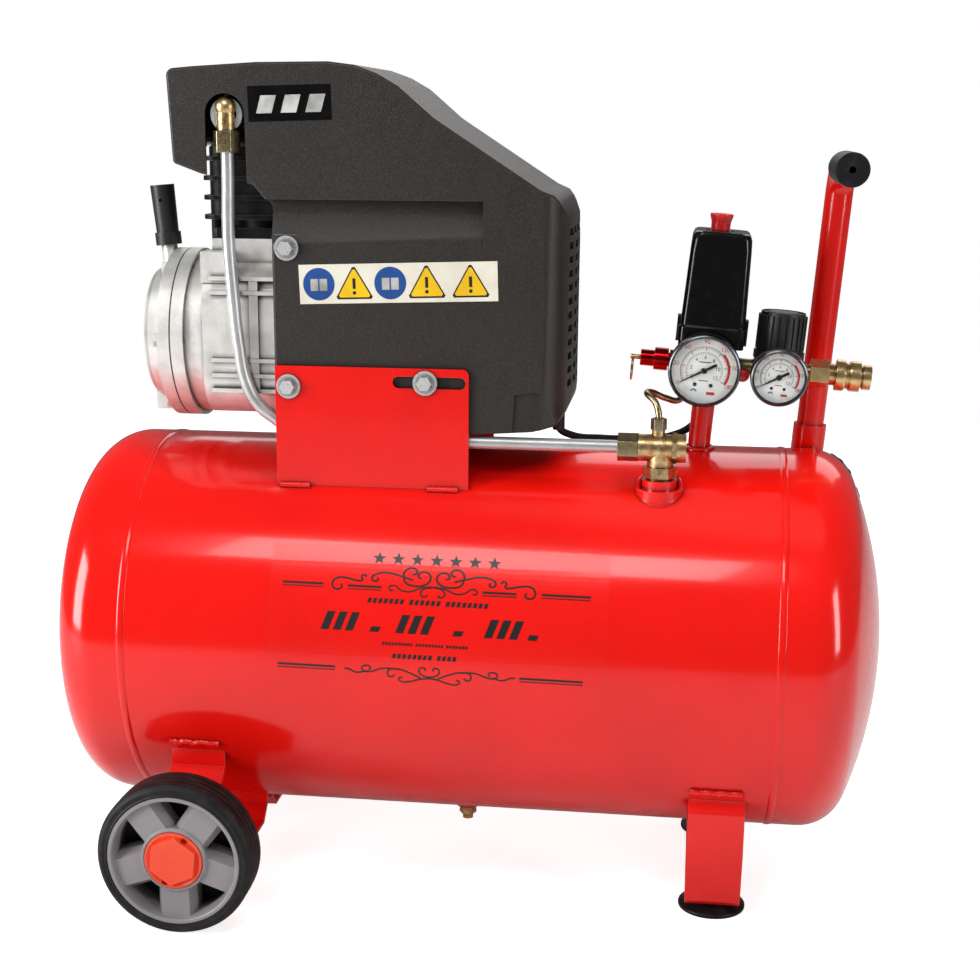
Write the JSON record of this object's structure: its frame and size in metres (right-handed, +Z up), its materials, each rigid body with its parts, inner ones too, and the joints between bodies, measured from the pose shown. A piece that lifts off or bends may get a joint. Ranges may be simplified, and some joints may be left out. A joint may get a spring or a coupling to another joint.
{
  "type": "air compressor",
  "caption": "Wheeled air compressor: horizontal red tank, direct-drive piston pump under a black shroud, pressure switch, gauges, regulator, quick coupler and pull handle.",
  "frame": {"origin": "on the floor under the middle of the tank", "axes": "+Z up, +X along the tank towards the gauges and handle, +Y towards the back"},
  "size_m": [0.6772, 0.3932, 0.662],
  "materials": {
    "red_paint": "gloss",
    "red_weldment": "gloss",
    "cast_aluminium": "satin",
    "machined_steel": "satin",
    "zinc_plate": "satin",
    "brass": "satin",
    "nickel_brass": "satin",
    "drawn_aluminium": "satin",
    "black_abs": "textured",
    "black_gloss": "gloss",
    "black_cast": "matte",
    "black_rubber": "matte",
    "tyre": "matte",
    "grey_plastic": "satin",
    "orange_plastic": "satin",
    "red_plastic": "gloss",
    "red_anodised": "satin",
    "copper_winding": "varnished",
    "gauge_case": "satin",
    "clear_lens": "clear",
    "sight_glass": "clear",
    "pvc_black": "satin",
    "gasket": "matte"
  },
  "bodies": {
    "frame": {"tank_shell": "red_paint", "tank_heads": "red_paint", "tank_bosses": "red_weldment", "manifold_post": "red_weldment", "data_plate": "zinc_plate", "wheel_brackets": "red_weldment", "foot_brackets": "red_weldment", "rubber_feet": "black_rubber", "axles": "zinc_plate", "handle_tube": "red_weldment", "handle_grip": "black_rubber", "pump_brackets": "red_weldment", "mounting_bolts": "zinc_plate", "crankcase": "cast_aluminium", "crankcase_gasket": "gasket", "crankcase_cover": "cast_aluminium", "pump_screws": "zinc_plate", "oil_sight_glass": "sight_glass", "breather_pipe": "black_abs", "cylinder": "black_cast", "valve_plate": "machined_steel", "cylinder_head": "cast_aluminium", "piston": "cast_aluminium", "shaft_bearings": "machined_steel", "motor_stator": "copper_winding", "motor_end_shield": "cast_aluminium", "motor_shroud": "black_abs", "discharge_elbow": "brass", "discharge_tube": "drawn_aluminium", "tube_nuts": "nickel_brass", "check_valve": "brass", "unloader_tube": "drawn_aluminium", "manifold": "nickel_brass", "switch_base": "black_gloss", "switch_cover": "black_gloss", "gauge_cases": "gauge_case", "gauge_lenses": "clear_lens", "regulator_body": "black_abs", "safety_valve": "red_anodised", "coupler_body": "brass", "motor_cable": "pvc_black", "cable_glands": "black_abs"},
    "front_wheel": {"wheel_rim_front": "grey_plastic", "tyre_front": "tyre", "wheel_cap_front": "orange_plastic"},
    "back_wheel": {"wheel_rim_back": "grey_plastic", "tyre_back": "tyre", "wheel_cap_back": "orange_plastic"},
    "crank": {"crankshaft": "machined_steel", "motor_rotor": "machined_steel", "cooling_fan": "black_abs"},
    "rod": {"connecting_rod": "drawn_aluminium"},
    "switch_knob": {"switch_knob": "red_plastic"},
    "tank_needle": {"tank_gauge_needle": "black_gloss"},
    "line_needle": {"line_gauge_needle": "black_gloss"},
    "regulator_screw": {"adjusting_screw": "machined_steel"},
    "regulator_knob": {"regulator_knob": "black_abs"},
    "safety_ring": {"safety_valve_ring": "brass"},
    "coupler_sleeve": {"coupler_sleeve": "brass"},
    "drain_screw": {"drain_screw": "brass"}
  },
  "joints": [
    {"name": "front_wheel_spin", "type": "hinge", "parent": "frame", "child": "front_wheel", "pos_m": [-0.205, -0.1775, 0.0625], "axis": [0, 1, 0], "continuous": true},
    {"name": "back_wheel_spin", "type": "hinge", "parent": "frame", "child": "back_wheel", "pos_m": [-0.205, 0.1775, 0.0625], "axis": [0, 1, 0], "continuous": true},
    {"name": "crank_spin", "type": "hinge", "parent": "frame", "child": "crank", "pos_m": [-0.164, 0, 0.45], "axis": [1, 0, 0], "continuous": true},
    {"name": "rod_turn", "type": "hinge", "parent": "crank", "child": "rod", "pos_m": [-0.164, 0, 0.465], "axis": [1, 0, 0], "continuous": true},
    {"name": "switch_pull", "type": "slide", "parent": "frame", "child": "switch_knob", "axis": [0.0698, 0, 0.9976], "range_m": [0, 0.006]},
    {"name": "tank_needle_turn", "type": "hinge", "parent": "frame", "child": "tank_needle", "pos_m": [0.18893, -0.046, 0.43354], "axis": [0, 1, 0], "range_deg": [0, 270], "stiffness_Nm_per_rad": 0.0002},
    {"name": "line_needle_turn", "type": "hinge", "parent": "frame", "child": "line_needle", "pos_m": [0.24629, -0.046, 0.42953], "axis": [0, 1, 0], "range_deg": [0, 270], "stiffness_Nm_per_rad": 0.0002},
    {"name": "regulator_turn", "type": "hinge", "parent": "frame", "child": "regulator_screw", "pos_m": [0.24799, 0, 0.45397], "axis": [0.0698, 0, 0.9976], "range_deg": [0, 810]},
    {"name": "regulator_lift", "type": "slide", "parent": "regulator_screw", "child": "regulator_knob", "axis": [0.0698, 0, 0.9976], "range_m": [0, 0.003]},
    {"name": "safety_pull", "type": "slide", "parent": "frame", "child": "safety_ring", "axis": [-0.9976, 0, 0.0698], "range_m": [0, 0.004], "stiffness_N_per_m": 1500, "springref_m": -0.002},
    {"name": "sleeve_slide", "type": "slide", "parent": "frame", "child": "coupler_sleeve", "axis": [-0.9976, 0, 0.0698], "range_m": [0, 0.005], "stiffness_N_per_m": 1200, "springref_m": -0.002},
    {"name": "drain_turn", "type": "hinge", "parent": "frame", "child": "drain_screw", "pos_m": [0, 0, 0.045], "axis": [0, 0, 1], "range_deg": [0, 450]}
  ],
  "couplings": [
    {"joint": "rod_turn", "follows": "crank_spin", "ratio": -1}
  ]
}
